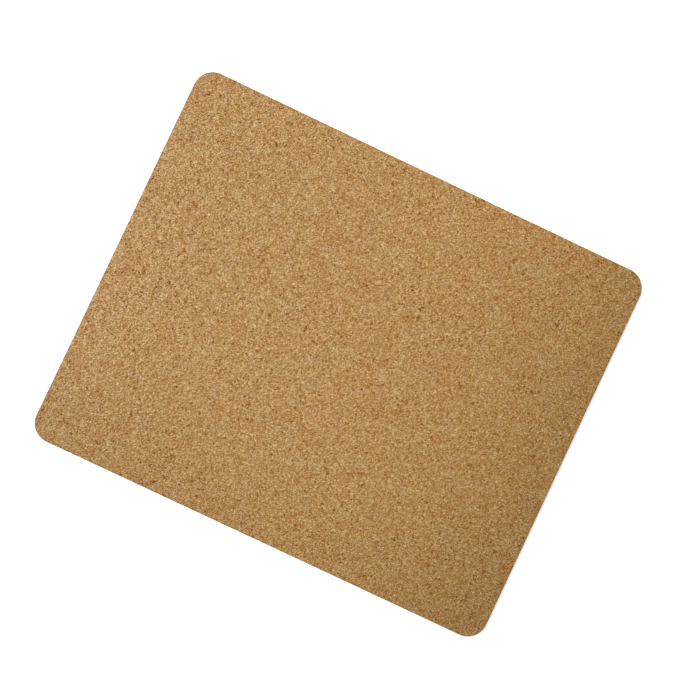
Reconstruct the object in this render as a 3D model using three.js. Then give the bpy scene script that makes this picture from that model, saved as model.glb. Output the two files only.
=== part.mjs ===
// Cork mouse pad: a die-cut laminate of a cork sheet, an adhesive film and a sponge-rubber base.
// Millimetres, +Z up. The origin is the middle of the underside, X runs along the long side.
import * as THREE from 'three';

// Driving dimensions
const PAD_LENGTH = 220;
const PAD_WIDTH = 180;
const CORNER_RADIUS = 9;
const BASE_THICKNESS = 1.875;
const ADHESIVE_THICKNESS = 0.125;
const CORK_THICKNESS = 1;

// Straight steps that stand for a quarter turn at each corner
const CORNER_STEPS = 24;

// The outline that the cutting die stamps through all the layers, anticlockwise from the front edge
function padOutline() {
  const halfLength = PAD_LENGTH / 2;
  const halfWidth = PAD_WIDTH / 2;
  const cornerX = halfLength - CORNER_RADIUS;
  const cornerY = halfWidth - CORNER_RADIUS;
  const quarterTurn = Math.PI / 2;
  const outline = new THREE.Shape();
  outline.moveTo(-cornerX, -halfWidth);
  outline.lineTo(cornerX, -halfWidth);
  outline.absarc(cornerX, -cornerY, CORNER_RADIUS, -quarterTurn, 0);
  outline.lineTo(halfLength, cornerY);
  outline.absarc(cornerX, cornerY, CORNER_RADIUS, 0, quarterTurn);
  outline.lineTo(-cornerX, halfWidth);
  outline.absarc(-cornerX, cornerY, CORNER_RADIUS, quarterTurn, 2 * quarterTurn);
  outline.lineTo(-halfLength, -cornerY);
  outline.absarc(-cornerX, -cornerY, CORNER_RADIUS, 2 * quarterTurn, 3 * quarterTurn);
  return outline;
}

// One layer of the laminate, resting on what is below it
function layer(name, bottom, thickness, material) {
  const geometry = new THREE.ExtrudeGeometry(padOutline(), {
    depth: thickness,
    curveSegments: CORNER_STEPS / 2, // an arc takes two steps per curve segment
    bevelEnabled: false,
  });
  const mesh = new THREE.Mesh(geometry, material);
  mesh.name = name;
  mesh.position.z = bottom;
  return mesh;
}

const corkMaterial = new THREE.MeshStandardMaterial({ color: 0xb58d5c, roughness: 0.9, metalness: 0 });
const adhesiveMaterial = new THREE.MeshStandardMaterial({ color: 0xc9b48a, roughness: 0.4, metalness: 0 });
const rubberMaterial = new THREE.MeshStandardMaterial({ color: 0x242322, roughness: 0.85, metalness: 0 });

const mousePad = new THREE.Group();
const adhesiveBottom = BASE_THICKNESS;
const corkBottom = adhesiveBottom + ADHESIVE_THICKNESS;
mousePad.add(layer('rubber_base', 0, BASE_THICKNESS, rubberMaterial));
mousePad.add(layer('adhesive_film', adhesiveBottom, ADHESIVE_THICKNESS, adhesiveMaterial));
mousePad.add(layer('cork_top_sheet', corkBottom, CORK_THICKNESS, corkMaterial));

export default mousePad;
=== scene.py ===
"""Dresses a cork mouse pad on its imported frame: granular cork face, bond line and studded rubber base."""
import math

import bmesh
import bpy
import numpy as np
from bpy.props import FloatProperty, FloatVectorProperty, IntProperty, PointerProperty
from mathutils import Color, Matrix, Vector, noise
from mathutils.geometry import delaunay_2d_cdt


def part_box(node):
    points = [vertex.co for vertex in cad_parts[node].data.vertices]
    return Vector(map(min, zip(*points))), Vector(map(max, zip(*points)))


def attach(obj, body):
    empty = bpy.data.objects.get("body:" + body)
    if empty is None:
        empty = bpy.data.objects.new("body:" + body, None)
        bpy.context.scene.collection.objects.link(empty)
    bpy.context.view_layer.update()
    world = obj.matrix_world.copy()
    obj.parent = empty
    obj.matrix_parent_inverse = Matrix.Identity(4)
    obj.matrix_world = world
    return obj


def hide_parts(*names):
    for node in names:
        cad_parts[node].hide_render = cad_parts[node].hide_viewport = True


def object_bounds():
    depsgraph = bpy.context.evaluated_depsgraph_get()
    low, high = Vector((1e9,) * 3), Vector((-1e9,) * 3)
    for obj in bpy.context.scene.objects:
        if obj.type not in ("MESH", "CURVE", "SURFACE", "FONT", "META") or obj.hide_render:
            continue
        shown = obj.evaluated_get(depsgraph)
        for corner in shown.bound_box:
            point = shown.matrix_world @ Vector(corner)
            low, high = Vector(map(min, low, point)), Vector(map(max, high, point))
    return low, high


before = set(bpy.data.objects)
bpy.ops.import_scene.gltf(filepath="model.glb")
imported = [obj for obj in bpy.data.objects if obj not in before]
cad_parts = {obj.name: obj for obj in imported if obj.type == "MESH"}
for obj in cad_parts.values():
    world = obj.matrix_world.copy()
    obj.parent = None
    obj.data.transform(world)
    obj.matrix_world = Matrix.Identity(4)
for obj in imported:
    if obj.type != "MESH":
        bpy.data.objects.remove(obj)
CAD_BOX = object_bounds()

bl_info = {
    "name": "Cork mouse pad",
    "version": (1, 0, 0),
    "blender": (4, 5, 0),
    "location": "View3D > Sidebar > Mouse pad",
    "description": "Builds the cork sheet, bond line, rubber base and stage of a mouse pad",
    "category": "Mesh",
}

CORK_NODE = "cork_top_sheet"
FILM_NODE = "adhesive_film"
BASE_NODE = "rubber_base"
BODY = "root"

# Lengths in metres
MM = 0.001
HAIR = 0.001 * MM

# Sides of a piece, and the name of the map that gives its main side the most room
TOP = 1
BOTTOM = -1
MAP_NAME = "OFBake"

# Names of the values that faces carry for their materials
TONE_LAYER = "granule_tone"
RED_LAYER = "granule_red"
WEAR_LAYER = "stud_wear"

# Tones of the cork's five colours, from dark bark to the palest chips
CORK_TONES = (0.02, 0.3, 0.6, 0.8, 1.0)

# Tone that the cork starts from, and how far each of its patterns moves it
START_TONE = 0.236
GRANULE_TONE = 0.04
FLECK_TONE = -0.3
# Painted shade: how much darker the granules sunk in pits are drawn
PIT_SHADE_TONE = -0.2
CRUMB_TONE = 0.67
BORDER_TONE = -0.2
SPECK_TONE = -0.62
PORE_TONE = 0.25
CLOUD_TONE = 0.04

# Share of the rounding that the cork's edge has dropped and drawn in where its slope is half way
EDGE_SHOULDER = 0.3

# Least and most of its mouth's width that a pit has at its bed, and of the full depth that it reaches
PIT_LEAST = (0.4, 0.5)
PIT_MOST = (0.7, 1.0)

# Rows of faces up the cut edges
CORK_WALL_ROWS = 3
BASE_WALL_ROWS = 5

STUD_SIDES = 6

# Kinds of texture node, and numbers of a Mix node's colour sockets
NOISE = "ShaderNodeTexNoise"
CELLS = "ShaderNodeTexVoronoi"
MIX_FIRST = 6
MIX_SECOND = 7
MIX_RESULT = 2

WHITE = (1, 1, 1, 1)


class PadOutline:
    """The rounded rectangle that the die cuts, seen from above."""

    def __init__(self, node):
        low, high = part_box(node)
        front = [v.co.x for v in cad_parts[node].data.vertices if v.co.y < low.y + HAIR]
        self.half = np.array(high.xy)
        self.radius = high.x - max(front)
        self.straight = self.half - self.radius
        if self.radius < HAIR:
            raise ValueError(f"The corners of {node} aren't round")

    def nearest(self, points):
        """How far points near the outline lie outside it, and the way straight out from it there."""
        away = points - np.clip(points, -self.straight, self.straight)
        reach = np.linalg.norm(away, axis=1)
        return reach - self.radius, away / np.maximum(reach, HAIR)[:, None]

    def ring(self, step):
        """Points round the outline, about a step apart, anticlockwise from the front right corner."""
        turns = max(2, round(self.radius * math.pi / 2 / step))
        arcs = []
        for side_x, side_y, start in ((1, -1, -90), (1, 1, 0), (-1, 1, 90), (-1, -1, 180)):
            angles = np.radians(np.linspace(start, start + 90, turns + 1))
            arm = np.stack([np.cos(angles), np.sin(angles)], 1)
            arcs.append(self.straight * (side_x, side_y) + self.radius * arm)
        points = []
        for arc, next_arc in zip(arcs, arcs[1:] + arcs[:1]):
            count = max(1, round(np.linalg.norm(next_arc[0] - arc[-1]) / step))
            line = np.linspace(arc[-1], next_arc[0], count + 1)[1:-1]
            points += [*arc, *line]
        return np.array(points)


OUTLINE = PadOutline(CORK_NODE)


class CorkSettings(bpy.types.PropertyGroup):
    """Sizes and colours of the cork sheet."""

    pitch: FloatProperty(
        name="Granule pitch", description="Spacing of the cork granules before they are shuffled",
        default=1.0 * MM, min=0.5 * MM, unit="LENGTH", precision=5)
    shuffle: FloatProperty(
        name="Shuffle", description="How far a granule strays from its row, in pitches",
        default=0.45, min=0, max=0.48, subtype="FACTOR")
    merged: FloatProperty(
        name="Merged share", description="Share of granules swallowed by their neighbours",
        default=0.1, min=0, max=0.5, subtype="FACTOR")
    relief: FloatProperty(
        name="Relief", description="Height that the sanded face varies by from granule to granule",
        default=0.05 * MM, min=0, unit="LENGTH", precision=5)
    pit_depth: FloatProperty(
        name="Pit depth", description="Depth of the pits left by granules that were torn out",
        default=0.22 * MM, min=0, unit="LENGTH", precision=5)
    pit_share: FloatProperty(
        name="Pit share", description="Share of granules that were torn out",
        default=0.012, min=0, max=0.2, subtype="FACTOR")
    fleck_share: FloatProperty(
        name="Fleck share", description="Share of granules that are dark bark",
        default=0.008, min=0, max=0.2, subtype="FACTOR")
    crumb_size: FloatProperty(
        name="Crumb size", description="Width of the crumbs inside the granules",
        default=0.31 * MM, min=0.05 * MM, unit="LENGTH", precision=5)
    crumb_relief: FloatProperty(
        name="Crumb relief", description="Height that the crumbs and pores vary by",
        default=0.06 * MM, min=0, unit="LENGTH", precision=5)
    ragged: FloatProperty(
        name="Ragged borders", description="How far the borders of crumbs and specks stray",
        default=0.25 * MM, min=0, unit="LENGTH", precision=5)
    ragged_size: FloatProperty(
        name="Ragged length", description="Length over which the borders of crumbs and specks stray",
        default=0.3 * MM, min=0.05 * MM, unit="LENGTH", precision=5)
    grain_turn: FloatProperty(
        name="Grain turn", description="Angle from the pad's long side to the crumbs' long side",
        default=math.radians(50), subtype="ANGLE")
    grain_stretch: FloatProperty(
        name="Grain stretch", description="How much longer than wide the crumbs and specks are drawn",
        default=1.4, min=1)
    speck_share: FloatProperty(
        name="Speck share", description="Share of the face that is specked with fine dark bark",
        default=0.03, min=0, max=0.2, subtype="FACTOR")
    speck_size: FloatProperty(
        name="Speck size", description="Width of the fine dark specks",
        default=0.45 * MM, min=0.05 * MM, unit="LENGTH", precision=5)
    pore_size: FloatProperty(
        name="Pore size", description="Width of the pores inside the crumbs",
        default=0.12 * MM, min=0.02 * MM, unit="LENGTH", precision=5)
    cloud_size: FloatProperty(
        name="Cloud size", description="Width of the clouds of paler and darker cork",
        default=6.0 * MM, min=1 * MM, unit="LENGTH", precision=5)
    tint_size: FloatProperty(
        name="Tint size", description="Width of the patches that lean to red or gold",
        default=5.5 * MM, min=1 * MM, unit="LENGTH", precision=5)
    edge_round: FloatProperty(
        name="Edge rounding", description="Rounding of the die-cut top edge",
        default=0.18 * MM, min=0, unit="LENGTH", precision=5)
    edge_rough: FloatProperty(
        name="Edge roughness", description="How far the cut edge strays from the outline",
        default=0.03 * MM, min=0, unit="LENGTH", precision=5)
    edge_grain: FloatProperty(
        name="Edge grain", description="Length over which the cut edge strays",
        default=0.8 * MM, min=0.1 * MM, unit="LENGTH", precision=5)
    chip_share: FloatProperty(
        name="Chipped share", description="Share of the top edge's points that are chipped",
        default=0.05, min=0, max=0.5, subtype="FACTOR")
    bark: FloatVectorProperty(
        name="Bark flecks", description="Colour of the darkest granules",
        default=(0.427, 0.2, 0.01), min=0, max=1, subtype="COLOR_GAMMA")
    shade: FloatVectorProperty(
        name="Dark granules", description="Colour of the darker granules",
        default=(0.611, 0.3975, 0.077), min=0, max=1, subtype="COLOR_GAMMA")
    body: FloatVectorProperty(
        name="Granules", description="Colour of most granules",
        default=(0.696, 0.5235, 0.283), min=0, max=1, subtype="COLOR_GAMMA")
    pale: FloatVectorProperty(
        name="Pale granules", description="Colour of the paler granules",
        default=(0.8, 0.668, 0.4545), min=0, max=1, subtype="COLOR_GAMMA")
    chip: FloatVectorProperty(
        name="Palest chips", description="Colour of the palest granules",
        default=(0.916, 0.815, 0.624), min=0, max=1, subtype="COLOR_GAMMA")
    red: FloatVectorProperty(
        name="Red tint", description="Tint of the reddest granules and patches",
        default=(1.0, 0.956, 0.924), min=0, max=1, subtype="COLOR_GAMMA")
    gold: FloatVectorProperty(
        name="Gold tint", description="Tint of the yellowest patches",
        default=(1.0, 1.0, 0.922), min=0, max=1, subtype="COLOR_GAMMA")
    seed: IntProperty(name="Seed", description="Start of the granules' random draws", default=11)


class FilmSettings(bpy.types.PropertyGroup):
    """Sizes and colour of the adhesive film."""

    bulge: FloatProperty(
        name="Bulge", description="How far the pressed film swells out at the edge",
        default=0.05 * MM, min=0, unit="LENGTH", precision=5)
    waver: FloatProperty(
        name="Waver", description="How far the film's edge wanders in and out",
        default=0.06 * MM, min=0, unit="LENGTH", precision=5)
    waver_length: FloatProperty(
        name="Waver length", description="Length over which the film's edge wanders",
        default=3.0 * MM, min=0.1 * MM, unit="LENGTH", precision=5)
    step: FloatProperty(
        name="Step", description="Spacing of the points round the film's edge",
        default=0.6 * MM, min=0.1 * MM, unit="LENGTH", precision=5)
    cloud_size: FloatProperty(
        name="Cloud size", description="Width of the clouds in the film",
        default=2.0 * MM, min=0.1 * MM, unit="LENGTH", precision=5)
    amber: FloatVectorProperty(
        name="Film", description="Colour of the set adhesive",
        default=(0.72, 0.58, 0.36), min=0, max=1, subtype="COLOR_GAMMA")


class BaseSettings(bpy.types.PropertyGroup):
    """Sizes and colours of the rubber base."""

    stud_pitch: FloatProperty(
        name="Stud pitch", description="Spacing of the six-sided anti-slip studs",
        default=3.0 * MM, min=1 * MM, unit="LENGTH", precision=5)
    groove_width: FloatProperty(
        name="Groove width", description="Width of the grooves between the studs",
        default=0.7 * MM, min=0.1 * MM, unit="LENGTH", precision=5)
    groove_depth: FloatProperty(
        name="Groove depth", description="Depth of the grooves between the studs",
        default=0.25 * MM, min=0, unit="LENGTH", precision=5)
    waist: FloatProperty(
        name="Waist", description="How far the cut sponge draws in half way up its edge",
        default=0.1 * MM, min=0, unit="LENGTH", precision=5)
    edge_rough: FloatProperty(
        name="Edge roughness", description="How far the cut cells roughen the edge",
        default=0.07 * MM, min=0, unit="LENGTH", precision=5)
    edge_grain: FloatProperty(
        name="Edge grain", description="Length over which the cut edge strays",
        default=0.4 * MM, min=0.1 * MM, unit="LENGTH", precision=5)
    cell_size: FloatProperty(
        name="Cell size", description="Width of the sponge's fine cells",
        default=0.18 * MM, min=0.05 * MM, unit="LENGTH", precision=5)
    cell_relief: FloatProperty(
        name="Cell relief", description="Height of the fine cells in the rubber's skin",
        default=0.08 * MM, min=0, unit="LENGTH", precision=5)
    dust_size: FloatProperty(
        name="Dust size", description="Width of the clouds of dusty bloom",
        default=4.0 * MM, min=0.5 * MM, unit="LENGTH", precision=5)
    rubber: FloatVectorProperty(
        name="Rubber", description="Colour of the rubber",
        default=(0.15, 0.147, 0.142), min=0, max=1, subtype="COLOR_GAMMA")
    bloom: FloatVectorProperty(
        name="Bloom", description="Colour of the dusty bloom on the rubber",
        default=(0.32, 0.313, 0.303), min=0, max=1, subtype="COLOR_GAMMA")


class StageSettings(bpy.types.PropertyGroup):
    """Camera, lamp, sky and floor."""

    eye: FloatVectorProperty(
        name="Camera", description="Where the camera stands",
        default=(-12.4 * MM, -5.7 * MM, 549.85 * MM), subtype="TRANSLATION", unit="LENGTH")
    target: FloatVectorProperty(
        name="Target", description="What the middle of the picture shows",
        default=(2.76 * MM, 3.78 * MM, 3.0 * MM), subtype="TRANSLATION", unit="LENGTH")
    turn: FloatProperty(
        name="Turn", description="Angle from the pad's long side to the picture's bottom edge",
        default=math.radians(25.3), subtype="ANGLE")
    field: FloatProperty(
        name="Field of view", description="Angle that the picture's width takes in",
        default=math.radians(31.73), subtype="ANGLE")
    lamp: FloatVectorProperty(
        name="Lamp", description="Where the soft lamp hangs",
        default=(-0.321, 0.097, 0.581), subtype="TRANSLATION", unit="LENGTH")
    lamp_aim: FloatVectorProperty(
        name="Lamp aim", description="Where the soft lamp points",
        default=(-0.085, 0.074, 0), subtype="TRANSLATION", unit="LENGTH")
    lamp_spread: FloatProperty(
        name="Lamp spread", description="Angle that the soft lamp's grid lets through",
        default=math.radians(21.5), subtype="ANGLE")
    lamp_size: FloatProperty(
        name="Lamp size", description="Side of the soft lamp", default=0.4, unit="LENGTH")
    lamp_power: FloatProperty(
        name="Lamp power", description="Power of the soft lamp", default=0.312, unit="POWER")
    sky: FloatProperty(
        name="Sky", description="Strength of the even light from all round", default=0.305)
    floor: FloatVectorProperty(
        name="Floor", description="Colour of the floor",
        default=(0.94, 0.94, 0.94), min=0, max=1, subtype="COLOR_GAMMA")
    near_lift: FloatProperty(
        name="Near lift", description="Light that the floor by the pad shows besides the lamp's",
        default=0.6)
    far_lift: FloatProperty(
        name="Far lift", description="Light that the floor far from the pad shows besides the lamp's",
        default=1.0)
    lift_start: FloatProperty(
        name="Lift start", description="How far from the pad's middle the near lift reaches",
        default=160 * MM, unit="LENGTH")
    lift_end: FloatProperty(
        name="Lift end", description="How far from the pad's middle the far lift begins",
        default=250 * MM, unit="LENGTH")
    floor_size: FloatProperty(
        name="Floor size", description="Side of the floor", default=12.0, unit="LENGTH")
    floor_step: FloatProperty(
        name="Floor step", description="Spacing of the points round the floor's opening",
        default=2.0 * MM, min=0.1 * MM, unit="LENGTH", precision=5)
    floor_tuck: FloatProperty(
        name="Floor tuck", description="How far the floor reaches in under the pad before its opening",
        default=1.0 * MM, min=0, unit="LENGTH", precision=5)
    floor_gap: FloatProperty(
        name="Floor gap", description="Gap that keeps the floor clear of the studs",
        default=0.02 * MM, min=0, unit="LENGTH", precision=5)


class PadSettings(bpy.types.PropertyGroup):
    """All the pad's settings."""

    cork: PointerProperty(type=CorkSettings, name="Cork", description="Settings of the cork sheet")
    film: PointerProperty(type=FilmSettings, name="Film", description="Settings of the adhesive film")
    base: PointerProperty(type=BaseSettings, name="Base", description="Settings of the rubber base")
    stage: PointerProperty(type=StageSettings, name="Stage", description="Settings of the stage")


# Meshes that fill the outline

def staggered_seeds(pitch):
    """Points a pitch from their neighbours, in staggered rows over the outline's box."""
    rise = pitch * math.sqrt(3) / 2
    columns, rows = np.ceil(OUTLINE.half / (pitch, rise)).astype(int)
    x, y = np.meshgrid(np.arange(-columns, columns + 1), np.arange(-rows, rows + 1))
    return np.stack([(x + y % 2 / 2) * pitch, y * rise], -1).reshape(-1, 2)


def split_outline(seeds, inset, reach):
    """Splits the outline, drawn in by inset, into one cell round each seed.

    Seeds within reach of the outline are mirrored in it, so that cells end there. Returns the corners of
    the cells, and for each seed the numbers of its cell's corners, anticlockwise.
    """
    gap, outward = OUTLINE.nearest(seeds)
    gap += inset
    near = gap > -reach
    points = np.vstack([seeds, seeds[near] - 2 * gap[near, None] * outward[near]])
    triangles = np.array(delaunay_2d_cdt([Vector(p) for p in points], [], [], 0, HAIR)[2])
    # A cell's corners are the middles of the circles through its triangles' corners
    start = points[triangles[:, 0]]
    one = points[triangles[:, 1]] - start
    two = points[triangles[:, 2]] - start
    one_squared = (one**2).sum(1)
    two_squared = (two**2).sum(1)
    across = two[:, 1] * one_squared - one[:, 1] * two_squared
    up = one[:, 0] * two_squared - two[:, 0] * one_squared
    area = one[:, 0] * two[:, 1] - one[:, 1] * two[:, 0]
    corners = start + np.stack([across, up], 1) / (2 * area[:, None])
    # Each seed's corners in order of their angle round it
    owner = triangles.ravel()
    corner = np.repeat(np.arange(len(triangles)), 3)
    spoke = corners[corner] - points[owner]
    order = np.lexsort((np.arctan2(spoke[:, 1], spoke[:, 0]), owner))
    ends = np.searchsorted(owner[order], np.arange(len(seeds) + 1))
    return corners, [corner[order[a:b]] for a, b in zip(ends[:-1], ends[1:])]


def cell_mesh(corners, cells, height, shortest):
    """A flat mesh with one face per cell, facing up, whose edges shorter than shortest are closed up."""
    bm = bmesh.new()
    verts = {i: bm.verts.new((*corners[i], height)) for i in np.unique(np.concatenate(cells))}
    for cell in cells:
        bm.faces.new([verts[i] for i in cell])
    bmesh.ops.remove_doubles(bm, verts=bm.verts[:], dist=shortest)
    return bm


def place_on_outline(verts, inset, height=None, rough=0.0, grain=MM):
    """Moves verts to the outline drawn in by inset, straying by up to rough over a grain's length.

    They go to that height, or keep their own where it is None.
    """
    points = np.array([v.co.xy for v in verts])
    gap, outward = OUTLINE.nearest(points)
    for v, point, g, out in zip(verts, points, gap, outward):
        if height is not None:
            v.co.z = height
        stray = rough * noise.noise(Vector((*point, v.co.z)) / grain)
        v.co.xy = point - (g + inset + stray) * out


def cut_to_outline(bm, cuts):
    """Cuts off what the mesh has outside the outline, with straight cuts that touch it all round."""
    digits = 9
    for angle in np.arange(cuts) * math.tau / cuts:
        out = np.array([math.cos(angle), math.sin(angle)]).round(digits)
        touch = OUTLINE.straight * np.sign(out) + OUTLINE.radius * out
        parts = [*bm.verts, *bm.edges, *bm.faces]
        bmesh.ops.bisect_plane(
            bm, geom=parts, dist=HAIR, plane_co=(*touch, 0), plane_no=(*out, 0), clear_outer=True)


def split_evenly(edge, longest):
    """Splits an edge into equal lengths that are no longer than longest."""
    start = edge.verts[0]
    for left in range(math.ceil(edge.calc_length() / longest), 1, -1):
        start = bmesh.utils.edge_split(edge, start, 1 / left)[1]


def add_wall(bm, rows, rough, grain):
    """Runs the mesh's open rim through rows of (inset, height) and closes the last row with one face."""
    rim = [e for e in bm.edges if e.is_boundary]
    for inset, height in rows:
        made = bmesh.ops.extrude_edge_only(bm, edges=rim)["geom"]
        verts = [g for g in made if isinstance(g, bmesh.types.BMVert)]
        fresh = set(verts)
        rim = [g for g in made if isinstance(g, bmesh.types.BMEdge) and fresh.issuperset(g.verts)]
        place_on_outline(verts, inset, height, rough, grain)
    bmesh.ops.holes_fill(bm, edges=rim)
    bmesh.ops.recalc_face_normals(bm, faces=bm.faces[:])


# Pieces from meshes

def lay_out_map(mesh, main_side):
    """Gives the mesh a map that spends nearly all its area on the main side, TOP or BOTTOM.

    The wall lies in four strips along the bottom of the map, and the far side in a band above them.
    """
    walls = 4
    strip = 0.012
    margin = 0.1
    gap = 0.3
    wall_tilt = 0.2
    fill = 1 - 2 * margin
    band = walls * strip
    main = band + (1 + gap) * strip
    spots = np.array([v.co for v in mesh.vertices])
    share = (spots - spots.min(0)) / np.ptp(spots, axis=0)
    places = np.empty((len(mesh.loops), 2))
    for face in mesh.polygons:
        x, y, rise = share[[mesh.loops[i].vertex_index for i in face.loop_indices]].T
        normal = face.normal
        along = x
        if normal.z * main_side > wall_tilt:
            up = main + y * (1 - main)
        elif abs(normal.z) > wall_tilt:
            up = band + (margin + fill * y) * strip
        elif abs(normal.y) >= abs(normal.x):
            up = (int(normal.y >= 0) + margin + fill * rise) * strip
        else:
            along = y
            up = (2 + int(normal.x >= 0) + margin + fill * rise) * strip
        places[face.loop_start:face.loop_start + face.loop_total] = np.stack([along, up], 1)
    mesh.uv_layers.new(name=MAP_NAME).data.foreach_set("uv", places.ravel())


def finish_piece(name, bm, material, node, main_side, crease):
    """Turns the mesh into a piece that stands for a CAD node and rides on the pad's body."""
    if not all(edge.is_manifold for edge in bm.edges):
        raise RuntimeError(f"The surface of {name} isn't closed")
    mesh = bpy.data.meshes.new(name)
    bm.to_mesh(mesh)
    bm.free()
    mesh.shade_smooth()
    mesh.set_sharp_from_angle(angle=crease)
    lay_out_map(mesh, main_side)
    mesh.materials.append(material)
    piece = bpy.data.objects.new(name, mesh)
    bpy.context.scene.collection.objects.link(piece)
    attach(piece, BODY)
    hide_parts(node)
    return piece


# Parts of materials

def linear(colour):
    """A written colour as the shader's light values, with full alpha."""
    return (*Color(colour).from_srgb_to_scene_linear(), 1)


def new_material(name):
    """A material with only its surface shader and output, and the two of them joined."""
    material = bpy.data.materials.new(name)
    material.use_nodes = True
    tree = material.node_tree
    return material, tree, tree.nodes["Principled BSDF"]


def set_inputs(tree, node, inputs):
    """Links a node's inputs to the sockets given for them, and sets the others to their values."""
    for name, value in inputs.items():
        if isinstance(value, bpy.types.NodeSocket):
            tree.links.new(value, node.inputs[name])
        else:
            node.inputs[name].default_value = value


def add_node(tree, kind, settings=None, inputs=None):
    """Adds a node, sets its fields, and sets or links its inputs."""
    made = tree.nodes.new(kind)
    for name, value in (settings or {}).items():
        setattr(made, name, value)
    set_inputs(tree, made, inputs or {})
    return made


def pad_place(tree):
    """The place on the pad, in metres."""
    return add_node(tree, "ShaderNodeTexCoord").outputs["Object"]


def face_value(tree, layer):
    """The value that each face carries under a name."""
    return add_node(tree, "ShaderNodeAttribute", {"attribute_name": layer}).outputs["Fac"]


def pattern(tree, kind, place, size, **inputs):
    """The outputs of a random texture, with spots or cells of about the given size."""
    return add_node(tree, kind, inputs={"Vector": place, "Scale": 1 / size, **inputs}).outputs


def cell_draw(tree, cells):
    """A random draw from 0 to 1 for each cell of a texture."""
    return add_node(tree, "ShaderNodeSeparateColor", inputs={"Color": cells["Color"]}).outputs["Red"]


def scaled_sum(tree, start, terms):
    """A value that adds up (value, weight) terms, beginning with start."""
    total = start
    for value, weight in terms:
        term = {0: value, 1: weight, 2: total}
        total = add_node(tree, "ShaderNodeMath", {"operation": "MULTIPLY_ADD"}, term).outputs[0]
    return total


def run(tree, value, low, high, start=0.0, end=1.0):
    """A value that runs from low to high as another goes from start to end, and stays there past them."""
    reach = {"From Min": start, "From Max": end, "To Min": low, "To Max": high}
    return add_node(tree, "ShaderNodeMapRange", inputs={"Value": value, **reach}).outputs["Result"]


def colour_ramp(tree, value, stops):
    """A colour that runs through (position, colour) stops."""
    ramp = add_node(tree, "ShaderNodeValToRGB", inputs={"Fac": value})
    elements = ramp.color_ramp.elements
    while len(elements) < len(stops):
        elements.new(0.5)
    for element, (position, colour) in zip(elements, stops):
        element.position = position
        element.color = linear(colour)
    return ramp.outputs["Color"]


def bumps(tree, height, strength, distance):
    """The way that a surface faces where a height rises over it."""
    inputs = {"Height": height, "Strength": strength, "Distance": distance}
    return add_node(tree, "ShaderNodeBump", inputs=inputs).outputs["Normal"]


def shown_strength(tree, shown, unseen):
    """A strength that is shown to the camera, mirrors and glass, and unseen for all other light."""
    path = add_node(tree, "ShaderNodeLightPath").outputs
    kinds = ("Is Camera Ray", "Is Glossy Ray", "Is Transmission Ray")
    looking = scaled_sum(tree, 0.0, [(path[kind], 1.0) for kind in kinds])
    return run(tree, looking, unseen, shown)


# Materials

def drawn_out(tree, place, cork):
    """The place with ragged shifts, drawn out along the cork's grain."""
    ragged = pattern(tree, NOISE, place, cork.ragged_size, Detail=2.0)["Color"]
    shifted = add_node(
        tree, "ShaderNodeVectorMath", {"operation": "MULTIPLY_ADD"},
        {0: ragged, 1: (cork.ragged,) * 3, 2: place}).outputs["Vector"]
    turn = (0, 0, cork.grain_turn)
    stretch = (cork.grain_stretch, 1, 1)
    return add_node(
        tree, "ShaderNodeMapping", {"vector_type": "TEXTURE"},
        {"Vector": shifted, "Rotation": turn, "Scale": stretch}).outputs["Vector"]


def tinted(tree, place, colour, cork):
    """The colour with a tint of red or gold in patches, and of red in some granules."""
    plain_draw = 0.35
    tinted_draw = 0.65
    drift = pattern(tree, NOISE, place, cork.tint_size, Detail=2.0, Roughness=0.55)["Color"]
    draws = add_node(tree, "ShaderNodeSeparateColor", inputs={"Color": drift}).outputs
    red = run(tree, draws["Red"], 0.0, 1.0, plain_draw, tinted_draw)
    red = scaled_sum(tree, red, [(face_value(tree, RED_LAYER), 1.0)])
    gold = run(tree, draws["Green"], 0.0, 1.0, plain_draw, tinted_draw)
    for share, tint in ((red, cork.red), (gold, cork.gold)):
        mix = add_node(
            tree, "ShaderNodeMix", {"data_type": "RGBA", "blend_type": "MULTIPLY"},
            {"Factor": share, MIX_FIRST: colour, MIX_SECOND: linear(tint)})
        colour = mix.outputs[MIX_RESULT]
    return colour


def cork_material(cork):
    """Pressed granules from dark bark to pale chips, with crumbs, specks and pores inside each one."""
    bark_roughness = 0.85
    chip_roughness = 0.3
    border_swell = -1.0
    pore_swell = 0.5
    crumb_swell = 0.5
    swell_strength = 0.5
    material, tree, shader = new_material("agglomerated_cork")
    place = pad_place(tree)
    granule = face_value(tree, TONE_LAYER)
    drawn = drawn_out(tree, place, cork)
    crumbs = pattern(tree, CELLS, drawn, cork.crumb_size)
    crumb = cell_draw(tree, crumbs)
    border = crumbs["Distance"]
    flake = cell_draw(tree, pattern(tree, CELLS, drawn, cork.speck_size))
    below = {"operation": "LESS_THAN"}
    speck = add_node(tree, "ShaderNodeMath", below, {0: flake, 1: cork.speck_share}).outputs[0]
    pore = pattern(tree, NOISE, place, cork.pore_size, Detail=3.0)["Fac"]
    cloud = pattern(tree, NOISE, place, cork.cloud_size, Detail=3.0)["Fac"]
    tone = scaled_sum(tree, START_TONE, [
        (granule, 1.0),
        (crumb, CRUMB_TONE),
        (speck, SPECK_TONE),
        (pore, PORE_TONE),
        (cloud, CLOUD_TONE),
        (border, BORDER_TONE),
    ])
    colours = (cork.bark, cork.shade, cork.body, cork.pale, cork.chip)
    colour = colour_ramp(tree, tone, list(zip(CORK_TONES, colours)))
    swell = scaled_sum(tree, granule, [(border, border_swell), (pore, pore_swell), (crumb, crumb_swell)])
    set_inputs(tree, shader, {
        "Base Color": tinted(tree, place, colour, cork),
        "Roughness": run(tree, tone, bark_roughness, chip_roughness),
        "Specular IOR Level": 0.36,
        "Normal": bumps(tree, swell, swell_strength, cork.crumb_relief),
    })
    return material


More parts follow.
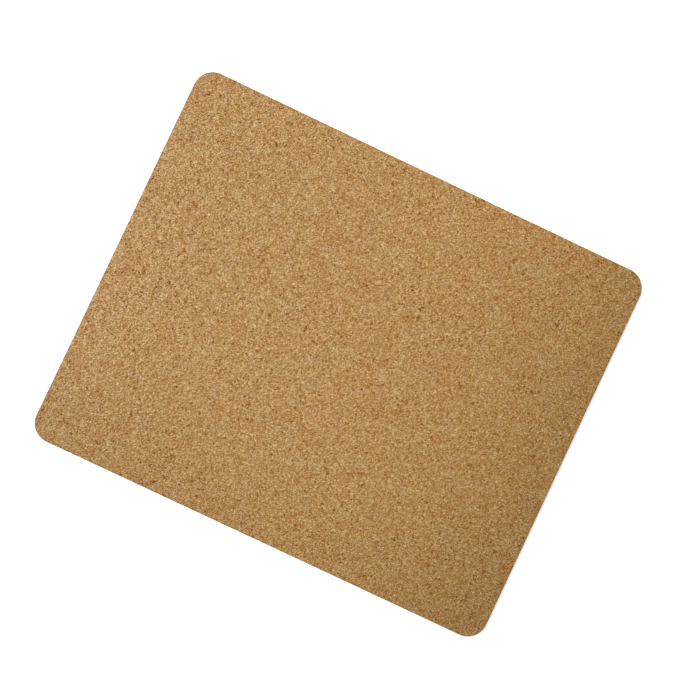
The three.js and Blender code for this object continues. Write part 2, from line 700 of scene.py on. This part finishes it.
def film_material(film):
    """Set adhesive: clear amber that clouds a little along the edge."""
    clear = 0.3
    cloudy = 0.7
    clear_shade = 0.75
    clear_roughness = 0.3
    cloudy_roughness = 0.6
    material, tree, shader = new_material("set_adhesive")
    cloud = pattern(tree, NOISE, pad_place(tree), film.cloud_size, Detail=3.0)["Fac"]
    stops = [(clear, Color(film.amber) * clear_shade), (cloudy, film.amber)]
    set_inputs(tree, shader, {
        "Base Color": colour_ramp(tree, cloud, stops),
        "Roughness": run(tree, cloud, clear_roughness, cloudy_roughness),
    })
    return material


def rubber_material(base):
    """Fine-celled sponge rubber with a dusty bloom, thickest on the worn faces of the studs."""
    bare = 0.4
    dusty = 1.0
    cell_tone = 0.6
    wear_tone = 0.2
    bare_roughness = 0.7
    dusty_roughness = 0.95
    cell_strength = 0.7
    material, tree, shader = new_material("sponge_rubber")
    place = pad_place(tree)
    cells = pattern(tree, CELLS, place, base.cell_size)["Distance"]
    dust = pattern(tree, NOISE, place, base.dust_size, Detail=9.0)["Fac"]
    wear = face_value(tree, WEAR_LAYER)
    tone = scaled_sum(tree, dust, [(cells, cell_tone), (wear, wear_tone)])
    set_inputs(tree, shader, {
        "Base Color": colour_ramp(tree, tone, [(bare, base.rubber), (dusty, base.bloom)]),
        "Roughness": run(tree, dust, bare_roughness, dusty_roughness),
        "Normal": bumps(tree, cells, cell_strength, base.cell_relief),
    })
    return material


def floor_material(stage):
    """Matt white floor that takes shadows, lifted to white for the camera, mirrors and glass."""
    material, tree, shader = new_material("floor_white")
    place = add_node(tree, "ShaderNodeNewGeometry").outputs["Position"]
    away = add_node(tree, "ShaderNodeVectorMath", {"operation": "LENGTH"}, {0: place}).outputs["Value"]
    lift = run(tree, away, stage.near_lift, stage.far_lift, stage.lift_start, stage.lift_end)
    set_inputs(tree, shader, {
        "Base Color": linear(stage.floor),
        "Roughness": 1.0,
        "Specular IOR Level": 0.0,
        "Emission Color": WHITE,
        "Emission Strength": shown_strength(tree, lift, 0.0),
    })
    return material


# Operators

class MOUSEPAD_OT_stage(bpy.types.Operator):
    """Makes the floor, the sky, the lamp and the camera"""

    bl_idname = "mousepad.stage"
    bl_label = "Stage"

    def execute(self, context):
        stage = context.scene.mouse_pad.stage
        self.add_floor(context, stage)
        self.add_sky(context, stage)
        self.add_lamp(context, stage)
        self.add_camera(context, stage)
        context.scene.view_settings.view_transform = "Standard"
        return {"FINISHED"}

    def add_floor(self, context, stage):
        """A wide sheet just below the pad, open under it so that the underside shows from below."""
        height = CAD_BOX[0].z - stage.floor_gap
        half = stage.floor_size / 2
        corners = ((-half, -half), (half, -half), (half, half), (-half, half))
        bm = bmesh.new()
        border = [bm.verts.new((*corner, height)) for corner in corners]
        opening = [bm.verts.new((*point, height)) for point in OUTLINE.ring(stage.floor_step)]
        place_on_outline(opening, stage.floor_tuck)
        for loop in (border, opening):
            for start, end in zip(loop, loop[1:] + loop[:1]):
                bm.edges.new((start, end))
        bmesh.ops.triangle_fill(bm, edges=bm.edges[:], use_beauty=True, normal=(0, 0, 1))
        if not bm.faces:
            raise RuntimeError("The floor round the pad can't be filled")
        mesh = bpy.data.meshes.new("floor")
        bm.to_mesh(mesh)
        bm.free()
        mesh.materials.append(floor_material(stage))
        floor = bpy.data.objects.new("floor", mesh)
        context.scene.collection.objects.link(floor)

    def add_sky(self, context, stage):
        """Even light from all round, behind which the picture stays white."""
        world = bpy.data.worlds.new("studio")
        world.use_nodes = True
        tree = world.node_tree
        sky = {"Color": WHITE, "Strength": shown_strength(tree, 1.0, stage.sky)}
        set_inputs(tree, tree.nodes["Background"], sky)
        context.scene.world = world

    def add_lamp(self, context, stage):
        """One soft square lamp, whose grid keeps its light on the pad."""
        light = bpy.data.lights.new("soft_lamp", "AREA")
        light.energy = stage.lamp_power
        light.size = stage.lamp_size
        light.spread = stage.lamp_spread
        lamp = bpy.data.objects.new("soft_lamp", light)
        lamp.location = stage.lamp
        way = Vector(stage.lamp_aim) - lamp.location
        lamp.rotation_euler = way.to_track_quat("-Z", "Y").to_euler()
        context.scene.collection.objects.link(lamp)

    def add_camera(self, context, stage):
        """A camera that looks from the eye to the target, turned so that the pad lies askew."""
        data = bpy.data.cameras.new("camera")
        data.angle = stage.field
        data.clip_start = 10 * MM
        camera = bpy.data.objects.new("camera", data)
        back = (Vector(stage.eye) - Vector(stage.target)).normalized()
        along = Vector((math.cos(stage.turn), math.sin(stage.turn), 0))
        right = (along - back * along.dot(back)).normalized()
        turned = Matrix([right, back.cross(right), back]).transposed().to_4x4()
        camera.matrix_world = Matrix.Translation(stage.eye) @ turned
        context.scene.collection.objects.link(camera)
        context.scene.camera = camera


class MOUSEPAD_OT_cork_sheet(bpy.types.Operator):
    """Presses the cork sheet from granules, with pits and a rounded, slightly rough cut edge"""

    bl_idname = "mousepad.cork_sheet"
    bl_label = "Cork sheet"

    def execute(self, context):
        cork = context.scene.mouse_pad.cork
        draw = np.random.default_rng(cork.seed)
        low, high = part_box(CORK_NODE)
        bm = self.pressed_granules(cork, draw, high.z)
        self.colour_granules(bm, cork, draw)
        self.sand_face(bm, cork, draw)
        shoulder = EDGE_SHOULDER * cork.edge_round
        wall_top = high.z - cork.edge_round
        rows = [(shoulder, high.z - shoulder), (0, wall_top)]
        rows += [(0, height) for height in np.linspace(wall_top, low.z, CORK_WALL_ROWS + 1)[1:]]
        add_wall(bm, rows, cork.edge_rough, cork.edge_grain)
        material = cork_material(cork)
        finish_piece("cork_sheet", bm, material, CORK_NODE, TOP, crease=math.radians(60))
        return {"FINISHED"}

    def pressed_granules(self, cork, draw, height):
        """The face as granules that fill the outline up to its rounded edge, with chips along it."""
        clearance = cork.edge_round + 0.2 * cork.pitch
        mirrored = 3 * cork.pitch
        shortest = 0.05 * cork.pitch
        seeds = staggered_seeds(cork.pitch)
        seeds += draw.uniform(-cork.shuffle, cork.shuffle, seeds.shape) * cork.pitch
        kept = draw.random(len(seeds)) > cork.merged
        kept &= OUTLINE.nearest(seeds)[0] < -clearance
        if not kept.any():
            raise RuntimeError("No granule fits inside the outline")
        corners, cells = split_outline(seeds[kept], cork.edge_round, mirrored)
        bm = cell_mesh(corners, cells, height, shortest)
        rim = [v for v in bm.verts if v.is_boundary]
        place_on_outline(rim, cork.edge_round, height, cork.edge_rough, cork.edge_grain)
        chipped = [v for v, chance in zip(rim, draw.random(len(rim))) if chance < cork.chip_share]
        chip_inset = 2 * cork.edge_round
        chip_height = height - EDGE_SHOULDER * cork.edge_round
        place_on_outline(chipped, chip_inset, chip_height, cork.edge_rough, cork.edge_grain)
        return bm

    def colour_granules(self, bm, cork, draw):
        """Gives each granule its tone, some of them dark bark, and how far it leans to red."""
        rarity = 4
        tone = bm.faces.layers.float.new(TONE_LAYER)
        red = bm.faces.layers.float.new(RED_LAYER)
        count = len(bm.faces)
        tones = draw.normal(0, GRANULE_TONE, count)
        tones[draw.random(count) < cork.fleck_share] += FLECK_TONE
        reds = draw.random(count) ** rarity
        for face, granule_tone, granule_red in zip(bm.faces, tones, reds):
            face[tone] = granule_tone
            face[red] = granule_red

    def sand_face(self, bm, cork, draw):
        """Varies the height of the face from granule to granule, and sinks the pits of torn-out ones, with
        painted shade in them.
        """
        ragged = 0.08 * cork.pitch
        inner = [v for v in bm.verts if not v.is_boundary]
        for v, drop in zip(inner, draw.random(len(inner))):
            v.co.z -= cork.relief * drop
        whole = [f for f in bm.faces if not any(v.is_boundary for v in f.verts)]
        tone = bm.faces.layers.float[TONE_LAYER]
        torn = [f for f, chance in zip(whole, draw.random(len(whole))) if chance < cork.pit_share]
        for edge in dict.fromkeys(e for f in torn for e in f.edges):
            middle = bmesh.utils.edge_split(edge, edge.verts[0], 0.5)[1]
            middle.co.xy += Vector(draw.uniform(-ragged, ragged, 2))
        # Painted shade: the granules in the pits are drawn darker, as if shade fell in them
        for face in torn:
            face[tone] += PIT_SHADE_TONE
        for bed in bmesh.ops.extrude_discrete_faces(bm, faces=torn)["faces"]:
            centre = bed.calc_center_median().xy
            share, depth = draw.uniform(PIT_LEAST, PIT_MOST)
            for v in bed.verts:
                v.co.xy = centre + (v.co.xy - centre) * share
                v.co.z -= cork.pit_depth * depth


class MOUSEPAD_OT_adhesive_film(bpy.types.Operator):
    """Lays the adhesive film that shows as a wavering bond line at the edge"""

    bl_idname = "mousepad.adhesive_film"
    bl_label = "Adhesive film"

    def execute(self, context):
        film = context.scene.mouse_pad.film
        low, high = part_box(FILM_NODE)
        bm = bmesh.new()
        bm.faces.new([bm.verts.new((*point, high.z)) for point in OUTLINE.ring(film.step)])
        place_on_outline(bm.verts[:], film.bulge, high.z, film.waver, film.waver_length)
        middle = (low.z + high.z) / 2
        rows = [(-film.bulge, middle), (film.bulge, low.z)]
        add_wall(bm, rows, film.waver, film.waver_length)
        material = film_material(film)
        finish_piece("bond_film", bm, material, FILM_NODE, TOP, crease=math.radians(60))
        return {"FINISHED"}


class MOUSEPAD_OT_rubber_base(bpy.types.Operator):
    """Moulds the sponge-rubber base, with six-sided studs underneath and a cut edge that draws in"""

    bl_idname = "mousepad.rubber_base"
    bl_label = "Rubber base"

    def execute(self, context):
        base = context.scene.mouse_pad.base
        low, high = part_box(BASE_NODE)
        groove = low.z + base.groove_depth
        bm = self.studded_face(base, low.z)
        climbs = np.linspace(0, 1, BASE_WALL_ROWS + 1)[1:]
        rows = [(base.waist * math.sin(math.pi * t), groove + t * (high.z - groove)) for t in climbs]
        add_wall(bm, rows, base.edge_rough, base.edge_grain)
        self.wear_studs(bm, low.z)
        material = rubber_material(base)
        piece = finish_piece(
            "sponge_base", bm, material, BASE_NODE, BOTTOM, crease=math.radians(35))
        return {"FINISHED"}

    def studded_face(self, base, bottom):
        """The underside: rows of studs with grooves between them, cut through along the outline."""
        cuts = 96
        weld = 0.02 * MM
        rim_step = 0.35 * MM
        seeds = staggered_seeds(base.stud_pitch)
        gap = OUTLINE.nearest(seeds)[0]
        reach = base.stud_pitch / math.sqrt(3)
        if not (gap <= -reach).any():
            raise RuntimeError("No stud fits inside the outline")
        bm = bmesh.new()
        self.add_studs(bm, seeds[abs(gap) < reach], base, bottom)
        cut_to_outline(bm, cuts)
        self.add_studs(bm, seeds[gap <= -reach], base, bottom)
        bmesh.ops.remove_doubles(bm, verts=bm.verts[:], dist=weld)
        for edge in [e for e in bm.edges if e.is_boundary]:
            split_evenly(edge, rim_step)
        rim = [v for v in bm.verts if v.is_boundary]
        place_on_outline(rim, 0, None, base.edge_rough, base.edge_grain)
        return bm

    def add_studs(self, bm, seeds, base, bottom):
        """Adds a six-sided stud at each seed, from the groove over a shoulder to its flat face."""
        shoulder_spread = 0.06
        shoulder_rise = 0.25
        turns = (np.arange(STUD_SIDES) + 0.5) * math.tau / STUD_SIDES
        hexagon = np.stack([np.cos(turns), np.sin(turns)], 1) * base.stud_pitch / math.sqrt(3)
        flat = 1 - base.groove_width / base.stud_pitch
        rings = [
            (hexagon, bottom + base.groove_depth),
            ((flat + shoulder_spread) * hexagon, bottom + shoulder_rise * base.groove_depth),
            (flat * hexagon, bottom),
        ]
        for seed in seeds:
            loops = []
            for ring, height in rings:
                loops.append([bm.verts.new((*corner, height)) for corner in seed + ring])
            for outer, inner in zip(loops, loops[1:]):
                for i in range(STUD_SIDES):
                    bm.faces.new((outer[i], outer[i - 1], inner[i - 1], inner[i]))
            bm.faces.new(reversed(loops[-1]))

    def wear_studs(self, bm, bottom):
        """Marks the faces of the studs, which rub on the desk."""
        wear = bm.faces.layers.float.new(WEAR_LAYER)
        for face in bm.faces:
            face[wear] = float(all(v.co.z < bottom + HAIR for v in face.verts))


class MOUSEPAD_PT_sidebar(bpy.types.Panel):
    """Lists the pad's pieces and their settings"""

    bl_idname = "MOUSEPAD_PT_sidebar"
    bl_label = "Mouse pad"
    bl_space_type = "VIEW_3D"
    bl_region_type = "UI"
    bl_category = "Mouse pad"

    def draw(self, context):
        pad = context.scene.mouse_pad
        for operator, settings in zip(OPERATORS, (pad.stage, pad.cork, pad.film, pad.base)):
            box = self.layout.box()
            box.operator(operator.bl_idname)
            for name in settings.__annotations__:
                box.prop(settings, name)


SETTINGS = (CorkSettings, FilmSettings, BaseSettings, StageSettings, PadSettings)
OPERATORS = (
    MOUSEPAD_OT_stage,
    MOUSEPAD_OT_cork_sheet,
    MOUSEPAD_OT_adhesive_film,
    MOUSEPAD_OT_rubber_base,
)
CLASSES = (*SETTINGS, *OPERATORS, MOUSEPAD_PT_sidebar)


def register():
    """Makes the settings, operators and panel known to Blender."""
    for cls in CLASSES:
        bpy.utils.register_class(cls)
    bpy.types.Scene.mouse_pad = PointerProperty(
        type=PadSettings, name="Mouse pad", description="Settings of the mouse pad and its stage")


def unregister():
    """Takes the settings, operators and panel away again."""
    del bpy.types.Scene.mouse_pad
    for cls in reversed(CLASSES):
        bpy.utils.unregister_class(cls)


def main():
    """Builds the stage and the pieces in order."""
    register()
    bpy.ops.mousepad.stage()
    bpy.ops.mousepad.cork_sheet()
    bpy.ops.mousepad.adhesive_film()
    bpy.ops.mousepad.rubber_base()
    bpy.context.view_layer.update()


if __name__ == "__main__":
    main()
